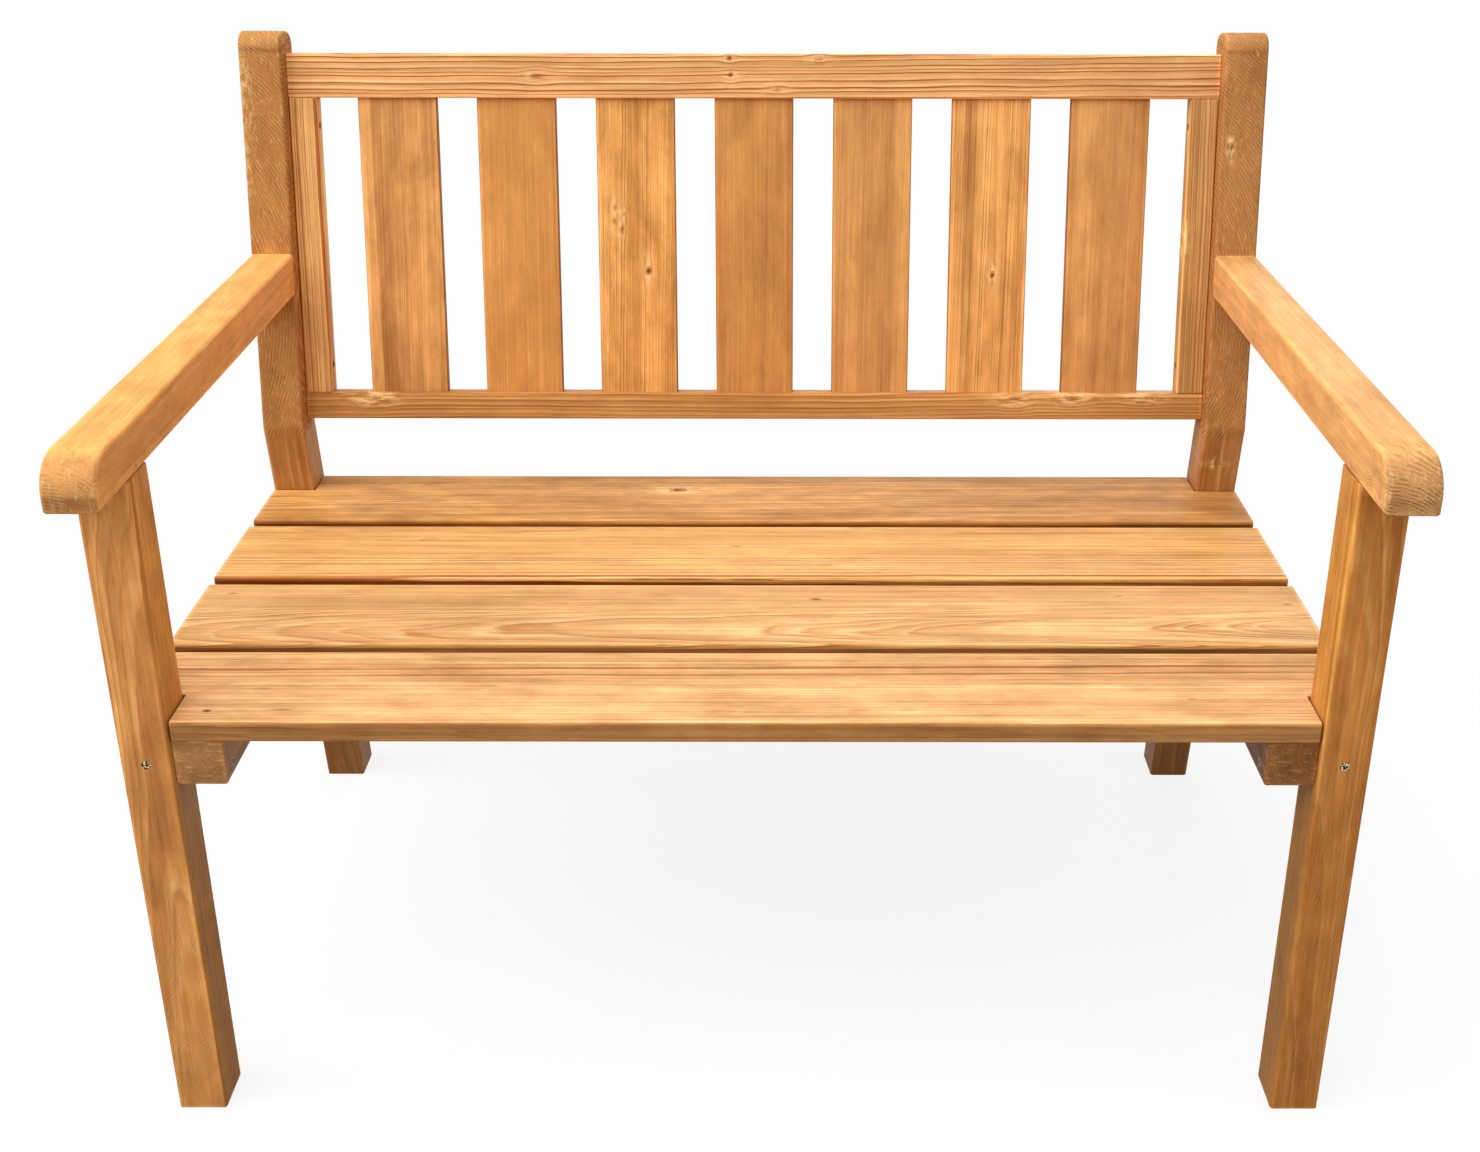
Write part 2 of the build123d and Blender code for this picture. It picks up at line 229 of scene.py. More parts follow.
class Shader:
    """Adds nodes to a tree and joins them: a number, a vector or a socket may be given for each input."""

    def __init__(self, tree):
        self.tree = tree

    def add(self, kind, inputs=None, **settings):
        """Node of a kind, with its settings and inputs."""
        node = self.tree.nodes.new(kind)
        for name, value in settings.items():
            setattr(node, name, value)
        for key, value in (inputs or {}).items():
            self.put(node.inputs[key], value)
        return node

    def put(self, socket, value):
        """Joins a socket to an input, or sets the input's own value."""
        if isinstance(value, bpy.types.NodeSocket):
            self.tree.links.new(value, socket)
        else:
            socket.default_value = value

    def math(self, operation, *values, clamp=False):
        """One operation on numbers."""
        node = self.add("ShaderNodeMath", operation=operation, use_clamp=clamp)
        for index, value in enumerate(values):
            self.put(node.inputs[index], value)
        return node.outputs[0]

    def product(self, first, *others):
        """Numbers multiplied in turn."""
        for other in others:
            first = self.math("MULTIPLY", first, other)
        return first

    def total(self, base, *parts):
        """Number with further values added, each times its weight."""
        for value, weight in parts:
            base = self.math("MULTIPLY_ADD", value, weight, base)
        return base

    def vector(self, operation, *values):
        """One operation on vectors."""
        node = self.add("ShaderNodeVectorMath", operation=operation)
        for index, value in enumerate(values):
            self.put(node.inputs[index], value)
        return node.outputs["Value" if operation in ("LENGTH", "DOT_PRODUCT", "DISTANCE") else "Vector"]

    def scaled(self, vector, scale):
        """Vector times a number."""
        node = self.add("ShaderNodeVectorMath", operation="SCALE")
        self.put(node.inputs[0], vector)
        self.put(node.inputs["Scale"], scale)
        return node.outputs["Vector"]

    def split(self, vector):
        """The three numbers of a vector."""
        return self.add("ShaderNodeSeparateXYZ", {"Vector": vector}).outputs[:3]

    def join(self, x, y, z):
        """Vector of three numbers."""
        return self.add("ShaderNodeCombineXYZ", {"X": x, "Y": y, "Z": z}).outputs[0]

    def step(self, value, low, high, to_low=0.0, to_high=1.0):
        """Smooth step from low to high, which may be given in falling order."""
        inputs = {"Value": value, "From Min": low, "From Max": high, "To Min": to_low, "To Max": to_high}
        return self.add("ShaderNodeMapRange", inputs, interpolation_type="SMOOTHSTEP").outputs["Result"]

    def noise(self, vector, scale, detail=2.0, roughness=0.5, distortion=0.0, dimensions="3D"):
        """Noise texture node."""
        inputs = {"Scale": scale, "Detail": detail, "Roughness": roughness, "Distortion": distortion}
        inputs["W" if dimensions == "1D" else "Vector"] = vector
        return self.add("ShaderNodeTexNoise", inputs, noise_dimensions=dimensions)

    def field(self, source, scales, **settings):
        """Noise texture node with its own scale in each direction."""
        return self.noise(self.vector("MULTIPLY", source, scales), 1.0, **settings)

    def swing(self, value, amount):
        """Factor about 1, from a noise about its middle."""
        return self.math("MULTIPLY_ADD", self.math("SUBTRACT", value, NOISE_MIDDLE), amount, 1.0)

    def blend(self, mode, factor, first, second):
        """Mix of two colours, which are inputs 6 and 7 of its node."""
        node = self.add("ShaderNodeMix", data_type="RGBA", blend_type=mode, clamp_factor=True)
        self.put(node.inputs[0], factor)
        self.put(node.inputs[6], first)
        self.put(node.inputs[7], second)
        return node.outputs[2]

    def seen(self):
        """1 for what the camera sees, in reflections and through glass too, and 0 for other light."""
        rays = self.add("ShaderNodeLightPath").outputs
        seen = self.math("MAXIMUM", rays["Is Camera Ray"], rays["Is Glossy Ray"])
        return self.math("MAXIMUM", seen, rays["Is Transmission Ray"])


def empty_shader(owner):
    """Clears the nodes of a material or world; returns the helper for its tree."""
    owner.use_nodes = True
    owner.node_tree.nodes.clear()
    return Shader(owner.node_tree)


def group_tree(name, inputs, outputs):
    """Empty node group with sockets listed by kind; returns its helper, input sockets and output node."""
    tree = bpy.data.node_groups.new(name, "ShaderNodeTree")
    for way, sockets in (("INPUT", inputs), ("OUTPUT", outputs)):
        for kind, labels in sockets.items():
            for label in labels:
                tree.interface.new_socket(label, in_out=way, socket_type="NodeSocket" + kind)
    shader = Shader(tree)
    entry = shader.add("NodeGroupInput")
    ending = shader.add("NodeGroupOutput")
    return shader, {socket.name: socket for socket in entry.outputs if socket.name}, ending


# Timber, in piece coordinates: x along the grain, y across it and z through the piece, from its middle


def make_knot_group():
    """A knot that runs through the piece along z: the grain parts round it."""
    shader, given, ending = group_tree(
        "knot",
        {
            "Vector": ("Place", "Warped", "Middle"),
            "Float": ("Core", "Ring", "Halo", "Long", "Wide", "Dark", "Pale"),
        },
        {"Vector": ("Warped",), "Float": ("Core", "Ring", "Halo")},
    )
    x, y, _ = shader.split(shader.vector("SUBTRACT", given["Place"], given["Middle"]))
    x_share = shader.math("DIVIDE", x, given["Long"])
    y_share = shader.math("DIVIDE", y, given["Wide"])
    shares = shader.join(x_share, y_share, 0.0)

    def bell(squeeze):
        """Fall from 1 at the knot's middle, slower where the squeeze is smaller."""
        spread = shader.vector("LENGTH", shader.vector("MULTIPLY", shares, squeeze))
        return shader.math("EXPONENT", shader.product(spread, spread, -1.0))

    ripple = shader.noise(given["Place"], **RIPPLE_NOISE).outputs[0]
    ripple = shader.total(-NOISE_MIDDLE * KNOT_RAGGED, (ripple, KNOT_RAGGED))
    reach = shader.math("ADD", shader.vector("LENGTH", shares), ripple)
    core = shader.product(shader.step(reach, *KNOT_CORE), given["Dark"])
    ring = shader.product(
        shader.step(reach, *KNOT_RING_START), shader.step(reach, *KNOT_RING_STOP), given["Dark"]
    )
    wisps = shader.field(given["Place"], **WISP_NOISE).outputs[0]
    halo = shader.product(bell(KNOT_HALO), shader.step(wisps, *KNOT_WISPS), given["Pale"])
    shift = shader.product(y, KNOT_PUSH, bell(KNOT_PARTING))
    warped = shader.vector("SUBTRACT", given["Warped"], shader.join(0.0, shift, 0.0))
    shader.put(ending.inputs["Warped"], warped)
    shader.put(ending.inputs["Core"], shader.math("MAXIMUM", core, given["Core"]))
    shader.put(ending.inputs["Ring"], shader.math("MAXIMUM", ring, given["Ring"]))
    shader.put(ending.inputs["Halo"], shader.math("MAXIMUM", halo, given["Halo"]))
    return shader.tree


def make_timber_group():
    """Growth rings cut by the piece's faces, with fibres, stain, knots, saw marks, painted light and shade on
    sides, gaps and ends, and painted highlights on arrises.
    """
    shader, given, ending = group_tree(
        "timber",
        {
            "Vector": ("Place", "Warped", "Half", "Grain", "Across", "Pith", "Tilt", "Saw middle"),
            "Float": (
                "Core", "Ring", "Halo", "Spacing", "Wander", "Contrast", "Shade", "Patches", "Lines",
                "Saw", "Saw pitch", "Saw from", "Saw to", "Ends", "Dip", "Deep", "Seed",
            ),
            "Color": ("Edge", "Light", "Dark"),
        },
        {"Color": ("Color",), "Float": ("Roughness", "Height")},
    )
    seed = shader.scaled(SEED_STEP, given["Seed"])
    place = shader.vector("ADD", given["Place"], seed)
    drift = shader.vector("ADD", given["Warped"], seed)
    place_u, _, place_w = shader.split(given["Place"])
    u, v, w = shader.split(given["Warped"])
    normal = shader.add("ShaderNodeNewGeometry").outputs["Normal"]
    towards = shader.vector("DOT_PRODUCT", normal, given["Across"])
    side_on = shader.math("ABSOLUTE", towards)
    facing = shader.math("ABSOLUTE", shader.vector("DOT_PRODUCT", normal, given["Grain"]))
    sawn = shader.product(shader.step(facing, *END_STEP), given["Ends"])
    sawing = shader.product(shader.step(place_u, given["Saw from"], given["Saw to"]), given["Saw"])

    # growth rings about the pith, which leans and wanders
    slow = shader.field(drift, **SWAY_NOISE).outputs["Color"]
    fine = shader.field(drift, **RUFFLE_NOISE).outputs["Color"]
    sway = shader.scaled(shader.vector("SUBTRACT", slow, NOISE_CENTRE), given["Wander"])
    ruffle = shader.scaled(shader.vector("SUBTRACT", fine, NOISE_CENTRE), RUFFLE)
    axis = shader.vector("ADD", given["Pith"], shader.scaled(given["Tilt"], u))
    off = shader.vector("SUBTRACT", shader.join(0.0, v, w), axis)
    off = shader.vector("ADD", off, shader.vector("ADD", sway, ruffle))
    _, off_v, off_w = shader.split(off)
    radius = shader.vector("LENGTH", shader.join(0.0, off_v, off_w))
    turns = shader.math("DIVIDE", radius, given["Spacing"])
    uneven = shader.noise(shader.math("ADD", turns, given["Seed"]), **UNEVEN_NOISE).outputs[0]
    turns = shader.total(turns, (uneven, RING_UNEVENNESS))
    share = shader.math("FRACT", turns)
    number = shader.math("ADD", shader.math("FLOOR", turns), given["Seed"])
    year = shader.add("ShaderNodeTexWhiteNoise", {"W": number}, noise_dimensions="1D").outputs["Value"]
    strength = shader.field(place, **VIGOUR_NOISE).outputs[0]
    vigour = shader.total(YEAR_LEAST, (year, YEAR_SWING))
    vigour = shader.product(vigour, shader.swing(strength, VIGOUR_SWING))
    figure = shader.product(
        given["Contrast"],
        shader.math("MULTIPLY_ADD", sawing, -SAW_HIDES, 1.0, clamp=True),
        shader.math("MULTIPLY_ADD", sawn, -END_HIDES, 1.0, clamp=True),
    )

    # where a face runs along the rings, their broad flames are paler
    flat_v = shader.product(shader.math("ABSOLUTE", off_v), side_on)
    flat_w = shader.product(shader.math("ABSOLUTE", off_w), shader.math("SUBTRACT", 1.0, side_on))
    flatness = shader.math("DIVIDE", shader.math("ADD", flat_v, flat_w), radius)
    calm = shader.step(flatness, *FLAT_STEP, to_low=1.0, to_high=FLAT_CALM)
    late = shader.product(shader.step(share, *LATE_START), shader.step(share, *LATE_STOP))
    late = shader.product(late, vigour, shader.product(figure, calm))
    # a thin pale line after each late band: partly the paler early wood, partly a painted highlight along the
    # raised late wood
    early_highlight = shader.product(shader.step(share, *EARLY_HIGHLIGHT_START), shader.step(share, *EARLY_HIGHLIGHT_STOP))
    early_highlight = shader.product(early_highlight, vigour, figure)

    # fibres, streaks and stain patches
    fibre = shader.field(place, **FIBRE_NOISE).outputs[0]
    streak = shader.field(place, **STREAK_NOISE).outputs[0]
    thread = shader.field(place, **THREAD_NOISE).outputs[0]
    band = shader.field(drift, **BAND_NOISE).outputs[0]
    patch = shader.field(place, **PATCH_NOISE).outputs[0]
    cloud = shader.field(place, **CLOUD_NOISE)
    color = shader.blend("MIX", late, given["Light"], given["Dark"])
    color = shader.blend("MIX", shader.product(early_highlight, EARLY_HIGHLIGHT_SHARE), color, EARLY_HIGHLIGHT_TONE)
    bright = shader.swing(fibre, FIBRE_SWING)
    for value, amount in ((streak, STREAK_SWING), (band, BAND_SWING), (thread, THREAD_SWING)):
        bright = shader.product(bright, shader.swing(value, shader.product(given["Lines"], amount)))
    patchy = shader.total(patch, (cloud.outputs[0], CLOUD_SHARE))
    patchy = shader.math("SUBTRACT", patchy, NOISE_MIDDLE * (1.0 + CLOUD_SHARE))
    # zones across and along the piece: its own tone, and painted shade on the legs and at the slats' ends
    bright = shader.product(bright, shader.total(1.0, (patchy, given["Patches"])), given["Shade"])
    green = shader.math("POWER", bright, GREEN_POWER)
    blue = shader.math("POWER", bright, BLUE_POWER)
    color = shader.blend("MULTIPLY", 1.0, color, shader.join(bright, green, blue))
    pink = shader.step(shader.split(cloud.outputs["Color"])[1], *PINK_STEP)
    color = shader.blend("MIX", shader.product(pink, PINK_SHARE), color, PINK_TONE)
    pits = shader.step(shader.field(place, **PIT_NOISE).outputs[0], *PIT_STEP)
    color = shader.blend("MULTIPLY", shader.product(pits, PIT_SHARE), color, PIT_FACTOR)

    # saw marks: arcs about a far middle, broken up, with torn fibres
    from_saw = shader.vector("DISTANCE", given["Place"], given["Saw middle"])
    from_saw = shader.total(from_saw, (shader.field(place, **SAW_NOISE).outputs[0], SAW_WANDER))
    angle = shader.math("DIVIDE", shader.product(from_saw, 2.0 * math.pi), given["Saw pitch"])
    gaps = shader.step(shader.field(place, **SAW_GAP_NOISE).outputs[0], *SAW_GAP_STEP)
    wave = shader.product(shader.math("SINE", angle), gaps, sawing)
    ridge = shader.math("MAXIMUM", wave, 0.0)
    groove = shader.math("MAXIMUM", shader.product(wave, -1.0), 0.0)
    color = shader.blend("MIX", shader.product(ridge, RIDGE_SHARE), color, RIDGE_TONE)
    color = shader.blend("MULTIPLY", shader.product(groove, GROOVE_SHARE), color, GROOVE_FACTOR)
    torn = shader.field(place, **TORN_NOISE).outputs[0]
    hairs = shader.product(shader.step(torn, *TORN_STEP), shader.total(TORN_SHARE, (sawing, TORN_SAWN_SHARE)))
    color = shader.blend("MIX", hairs, color, TORN_TONE)

    # knots
    swirl = shader.noise(place, **SWIRL_NOISE).outputs[0]
    knot_tone = shader.blend("MIX", swirl, CORE_DARK, CORE_PALE)
    color = shader.blend("MIX", shader.product(given["Halo"], HALO_SHARE), color, HALO_TONE)
    color = shader.blend("MIX", shader.product(given["Core"], CORE_SHARE), color, knot_tone)
    color = shader.blend("MIX", shader.product(given["Ring"], RING_SHARE), color, RING_TONE)

    # sides across the grain get painted light and shade, and the lower half of a front edge gets painted
    # shade, deep in the gap between boards
    color = shader.blend("MULTIPLY", shader.step(side_on, *SIDE_SHADING_STEP), color, given["Edge"])
    gap_shade_mask = shader.product(shader.step(place_w, *GAP_SHADE_STEP), shader.step(towards, *FRONT_STEP))
    color = shader.blend("MULTIPLY", shader.product(gap_shade_mask, given["Deep"]), color, GAP_SHADE_FACTOR)

    # sawn ends: a tone of their own with open pores, pale scuffs, dark blots, and painted shade on their
    # lower part
    pores = shader.noise(place, **PORE_NOISE).outputs[0]
    chafe = shader.noise(place, **CHAFE_NOISE).outputs[0]
    color = shader.blend("MIX", shader.product(sawn, END_SHARE), color, END_TONE)
    end_shade = shader.total(PORE_LEAST, (pores, PORE_SWING))
    color = shader.blend("MULTIPLY", sawn, color, shader.join(end_shade, end_shade, end_shade))
    scuffs = shader.step(shader.field(place, **SCUFF_NOISE).outputs[0], *SCUFF_STEP)
    color = shader.blend("MIX", shader.product(scuffs, sawn, SCUFF_SHARE), color, SCUFF_TONE)
    blots = shader.product(shader.step(chafe, *BLOT_STEP), sawn, BLOT_SHARE)
    color = shader.blend("MULTIPLY", blots, color, BLOT_FACTOR)
    depth = shader.total(place_w, (chafe, UNDERSIDE_SHADE_WANDER))
    underside_shade_mask = shader.product(shader.step(depth, *UNDERSIDE_SHADE_STEP), shader.step(facing, *UNDERSIDE_SHADE_FACE_STEP), given["Dip"])
    color = shader.blend("MULTIPLY", underside_shade_mask, color, UNDERSIDE_SHADE_FACTOR)

    # arrises are painted paler: a painted highlight on their rounding
    near = shader.vector("SUBTRACT", given["Half"], shader.vector("ABSOLUTE", given["Place"]))
    near_u, near_v, near_w = shader.split(near)
    side = shader.vector("LENGTH", shader.join(0.0, near_v, near_w))
    tip = shader.vector("LENGTH", shader.join(near_u, shader.math("MINIMUM", near_v, near_w), 0.0))
    arris = shader.total(shader.math("MINIMUM", side, tip), (chafe, ARRIS_WANDER))
    arris_highlight = shader.product(shader.step(arris, *ARRIS_STEP), ARRIS_HIGHLIGHT_SHARE)
    arris_highlighted = shader.blend("MULTIPLY", 1.0, color, ARRIS_HIGHLIGHT_FACTOR)
    color = shader.blend("MIX", arris_highlight, color, arris_highlighted)

    # surface: latewood stands proud, fibres and saw marks roughen it
    height = shader.total(
        shader.product(late, LATE_RELIEF),
        (fibre, FIBRE_RELIEF),
        (wave, SAW_RELIEF),
        (shader.product(torn, sawing), TORN_RELIEF),
        (pits, PIT_RELIEF),
        (given["Ring"], KNOT_RELIEF),
        (shader.product(pores, sawn), PORE_RELIEF),
    )
    rough = shader.total(
        ROUGHNESS,
        (fibre, FIBRE_ROUGHNESS),
        (shader.math("MAXIMUM", sawn, sawing), SAWN_ROUGHNESS),
        (late, LATE_ROUGHNESS),
    )
    shader.put(ending.inputs["Color"], color)
    shader.put(ending.inputs["Roughness"], rough)
    shader.put(ending.inputs["Height"], height)
    return shader.tree


knot_group = make_knot_group()
timber_group = make_timber_group()

# Grain directions as the axes of a piece: along, across and through, in the row frame
lean = math.radians(LEAN)
splay = math.radians(SPLAY)
ALONG_X = (Vector((1, 0, 0)), Vector((0, 1, 0)), Vector((0, 0, 1)))
ALONG_Y = (Vector((0, 1, 0)), Vector((0, 0, 1)), Vector((1, 0, 0)))
ARM_WAY = (Vector((0, 1, 0)), Vector((-1, 0, 0)), Vector((0, 0, 1)))
ALONG_Z = (Vector((0, 0, 1)), Vector((1, 0, 0)), Vector((0, 1, 0)))
POST = (
    Vector((0, -math.sin(splay), math.cos(splay))),
    Vector((1, 0, 0)),
    Vector((0, math.cos(splay), math.sin(splay))),
)
PANEL_UP = (
    Vector((0, math.sin(lean), math.cos(lean))),
    Vector((1, 0, 0)),
    Vector((0, math.cos(lean), -math.sin(lean))),
)
PANEL_ACROSS = (
    Vector((1, 0, 0)),
    Vector((0, math.sin(lean), math.cos(lean))),
    Vector((0, -math.cos(lean), math.sin(lean))),
)


def piece_frame(node, axes):
    """Rows that turn the row frame into a piece's own axes, with its middle and half size there."""
    rows = Matrix(axes)
    points = [rows @ vertex.co for vertex in cad_nodes[node].data.vertices]
    low = Vector([min(point[i] for point in points) for i in range(3)])
    high = Vector([max(point[i] for point in points) for i in range(3)])
    return rows, (low + high) / 2, (high - low) / 2


def zone_factor(shader, coordinate, half, stops, wobble):
    """Factor that changes across a piece: stops give places from 0 to 1 and the factor at each."""
    place = shader.math("MULTIPLY_ADD", coordinate, 0.5 / half, 0.5)
    ramp = shader.add("ShaderNodeValToRGB", {"Fac": shader.math("ADD", place, wobble)})
    elements = ramp.color_ramp.elements
    for index, (where, factor) in enumerate(stops):
        element = elements[index] if index < 2 else elements.new(where)
        element.position = where
        level = factor / RAMP_TOP
        element.color = (level, level, level, 1.0)
    return shader.product(ramp.outputs["Color"], RAMP_TOP)


def side_shading_tint(shader, edge, stops, coordinate, half, wobble):
    """Painted light and shade on the sides across the grain: one number darkens and warms them, three are
    taken as they are.
    """
    if isinstance(edge, tuple):
        tint = (*edge, 1.0)
    else:
        tint = (edge, *(edge ** power for power in SIDE_SHADING_POWERS), 1.0)
    if not stops:
        return tint
    zone = zone_factor(shader, coordinate, half, stops, wobble)
    warmed = [shader.math("POWER", zone, power) for power in SIDE_SHADING_ZONE_POWERS]
    return shader.blend("MULTIPLY", 1.0, tint, shader.join(zone, *warmed))


def cover(node, material):
    """Gives a piece one material."""
    materials = cad_nodes[node].data.materials
    materials.clear()
    materials.append(material)


def timber(
    node, axes, seed, dark, pith, tilt=(0, 0), spacing=0.005, wander=0.012, contrast=0.6,
    patches=0.5, lines=1.0, saw=0.0, saw_pitch=0.0034, saw_middle=(0, 0, 0), saw_zone=(1.0, 2.0),
    ends=1.0, underside_shade=0.0, edge=1.0, edge_along=(), gap_shade=0.0, drift=0.1, across=(), along=(), figure=(),
    knots=(),
):
    """Gives a piece its own log, tone, zones, knots, and painted light and shade.

    pith is the middle of the log, across and through the piece, and tilt is how it leans along it.
    across, along, figure and edge_along are stops of zone_factor, and drift is how far they wander.
    A knot has its place in the row frame, half length, half width, and its core's and halo's strength.
    """
    material = bpy.data.materials.new("timber_" + node)
    shader = empty_shader(material)
    rows, middle, half = piece_frame(node, axes)
    mapping = shader.add(
        "ShaderNodeMapping",
        {
            "Vector": shader.add("ShaderNodeTexCoord").outputs["Object"],
            "Location": rows.transposed() @ middle,
            "Rotation": rows.transposed().to_euler(),
        },
        vector_type="TEXTURE",
    )
    place = mapping.outputs[0]
    values = {"Place": place, "Warped": place, "Core": 0.0, "Ring": 0.0, "Halo": 0.0}
    for x, y, z, long, wide, strength, pale in knots:
        spot = rows @ Vector((x, y, z)) - middle
        size = {"Middle": (spot[0], spot[1], 0.0), "Long": long, "Wide": wide, "Dark": strength, "Pale": pale}
        knot = shader.add("ShaderNodeGroup", {**values, **size}, node_tree=knot_group)
        for key in ("Warped", "Core", "Ring", "Halo"):
            values[key] = knot.outputs[key]
    u, v, _ = shader.split(place)
    source = shader.vector("ADD", shader.vector("MULTIPLY", place, ZONE_SCALES), (seed, seed, seed))
    wobble = shader.total(-NOISE_MIDDLE * drift, (shader.noise(source, 1.0).outputs[0], drift))
    zone_tone_and_shade = 1.0
    if across:
        zone_tone_and_shade = zone_factor(shader, v, half[1], across, wobble)
    if along:
        zone_tone_and_shade = shader.product(zone_tone_and_shade, zone_factor(shader, u, half[0], along, wobble))
    if figure:
        contrast = shader.product(zone_factor(shader, v, half[1], figure, wobble), contrast)
    values.update({
        "Half": half,
        "Grain": axes[0],
        "Across": axes[1],
        "Pith": (0.0, *pith),
        "Tilt": (0.0, *tilt),
        "Spacing": spacing,
        "Wander": wander,
        "Contrast": contrast,
        "Shade": zone_tone_and_shade,
        "Patches": patches,
        "Lines": lines,
        "Saw": saw,
        "Saw pitch": saw_pitch,
        "Saw middle": saw_middle,
        "Saw from": saw_zone[0],
        "Saw to": saw_zone[1],
        "Ends": ends,
        "Dip": underside_shade,
        "Edge": side_shading_tint(shader, edge, edge_along, u, half[0], wobble),
        "Deep": gap_shade,
        "Seed": seed,
        "Light": srgb(*TONES[node]),
        "Dark": dark,
    })
    grain = shader.add("ShaderNodeGroup", values, node_tree=timber_group)
    relief = shader.add(
        "ShaderNodeBump", {"Strength": 1.0, "Distance": RELIEF_HEIGHT, "Height": grain.outputs["Height"]}
    )
    principled = shader.add("ShaderNodeBsdfPrincipled", {
        "Base Color": grain.outputs["Color"],
        "Roughness": grain.outputs["Roughness"],
        "Normal": relief.outputs[0],
        "IOR": TIMBER_IOR,
        "Specular IOR Level": TIMBER_SPECULAR,
    })
    shader.add("ShaderNodeOutputMaterial", {"Surface": principled.outputs[0]})
    cover(node, material)


# Stained tone of the early wood of each piece, and four tones of late wood
TONES = {
    "seat_board_1": (236, 181, 121),
    "seat_board_2": (225, 172, 111),
    "seat_board_3": (235, 175, 104),
    "seat_board_4": (201, 142, 76),
    "back_top_rail": (230, 166, 104),
    "back_bottom_rail": (190, 130, 67),
    "back_stile_left": (233, 174, 105),
    "back_stile_right": (196, 144, 84),
    "back_slat_1": (210, 146, 82),
    "back_slat_2": (213, 146, 78),
    "back_slat_3": (225, 156, 83),
    "back_slat_4": (211, 145, 78),
    "back_slat_5": (215, 151, 86),
    "back_slat_6": (228, 160, 89),
    "back_slat_7": (217, 152, 87),
    "front_leg_left": (238, 162, 87),
    "front_leg_right": (208, 134, 60),
    "rear_leg_left": (181, 122, 62),
    "rear_leg_right": (185, 125, 68),
    "armrest_left": (240, 170, 93),
    "armrest_right": (236, 175, 108),
    "armrest_pegs": (230, 154, 84),
    "seat_bearer_left": (185, 129, 76),
    "seat_bearer_right": (132, 78, 26),
    "side_rail_left": (208, 140, 76),
    "side_rail_right": (208, 140, 76),
    "seat_centre_batten": (208, 140, 76),
}
RUST = srgb(152, 82, 34)
BROWN = srgb(168, 96, 44)
UMBER = srgb(182, 112, 56)
FAWN = srgb(200, 134, 76)

# Height of the seat boards' upper faces, where their knots are placed
BOARD_TOP = 0.43

# Seat boards: painted shade darkens their sides across the grain, and on boards 2 to 4 also the lower half of
# the front edge in each gap
timber(
    "seat_board_1", ALONG_X, 11.0, UMBER, pith=(0.16, -0.05), tilt=(0.01, 0.0), spacing=0.003,
    wander=0.007, contrast=0.8, patches=0.8, lines=1.3, edge=0.59,
    across=((0.0, 1.0), (0.3, 1.04), (0.52, 1.08), (0.6, 0.93), (1.0, 0.92)),
    figure=((0.0, 0.5), (0.5, 0.6), (0.62, 1.0), (1.0, 1.3)),
    along=((0.0, 0.9), (0.2, 1.0), (0.7, 1.02), (0.95, 0.94)),
    knots=(
        (-0.471, -0.249, BOARD_TOP, 0.003, 0.002, 1.3, 0.2),
        (-0.406, -0.247, BOARD_TOP, 0.009, 0.0016, 0.5, 0.3),
        (-0.432, -0.213, BOARD_TOP, 0.006, 0.0012, 0.4, 0.0),
        (0.099, -0.246, BOARD_TOP, 0.009, 0.002, 0.35, 0.4),
        (0.142, -0.246, BOARD_TOP, 0.007, 0.002, 0.3, 0.4),
        (0.394, -0.228, BOARD_TOP, 0.004, 0.0012, 0.6, 0.5),
    ),
)
timber(
    "seat_board_2", ALONG_X, 12.0, FAWN, pith=(-0.03, -0.045), tilt=(0.012, 0.032), spacing=0.0025,
    wander=0.016, contrast=1.4, patches=0.5, lines=1.3, edge=0.75, gap_shade=1.0,
    across=((0.0, 1.02), (0.45, 1.04), (0.6, 0.97), (1.0, 1.0)),
    figure=((0.0, 1.0), (0.5, 1.0), (0.62, 0.25), (1.0, 0.3)),
    knots=(
        (0.064, -0.045, BOARD_TOP, 0.006, 0.0018, 1.0, 0.3),
        (-0.515, -0.035, BOARD_TOP, 0.005, 0.002, 0.5, 0.2),
        (0.366, -0.038, BOARD_TOP, 0.004, 0.0012, 0.5, 0.2),
        (0.529, -0.054, BOARD_TOP, 0.005, 0.002, 0.5, 0.5),
    ),
)
timber(
    "seat_board_3", ALONG_X, 13.0, UMBER, pith=(0.06, -0.06), tilt=(0.012, 0.01), spacing=0.003,
    wander=0.01, contrast=1.6, patches=0.5, lines=1.3, edge=0.75, gap_shade=1.0,
    across=((0.0, 1.02), (0.35, 1.05), (0.5, 0.97), (1.0, 0.98)),
    figure=((0.0, 1.1), (0.33, 0.9), (0.45, 0.25), (1.0, 0.3)),
    knots=(
        (-0.016, 0.071, BOARD_TOP, 0.004, 0.002, 0.6, 0.4),
        (-0.348, 0.085, BOARD_TOP, 0.012, 0.006, 0.15, 0.4),
    ),
)
timber(
    "seat_board_4", ALONG_X, 14.0, UMBER, pith=(-0.07, -0.08), tilt=(0.004, 0.012), spacing=0.004,
    contrast=0.5, patches=1.0, lines=1.3, edge=0.75, gap_shade=1.0,
    across=((0.0, 1.02), (0.5, 1.04), (1.0, 0.93)),
    along=((0.0, 1.03), (0.4, 1.0), (0.75, 0.97), (1.0, 0.86)),
    knots=((-0.088, 0.212, BOARD_TOP, 0.008, 0.0042, 1.2, 1.8),),
)
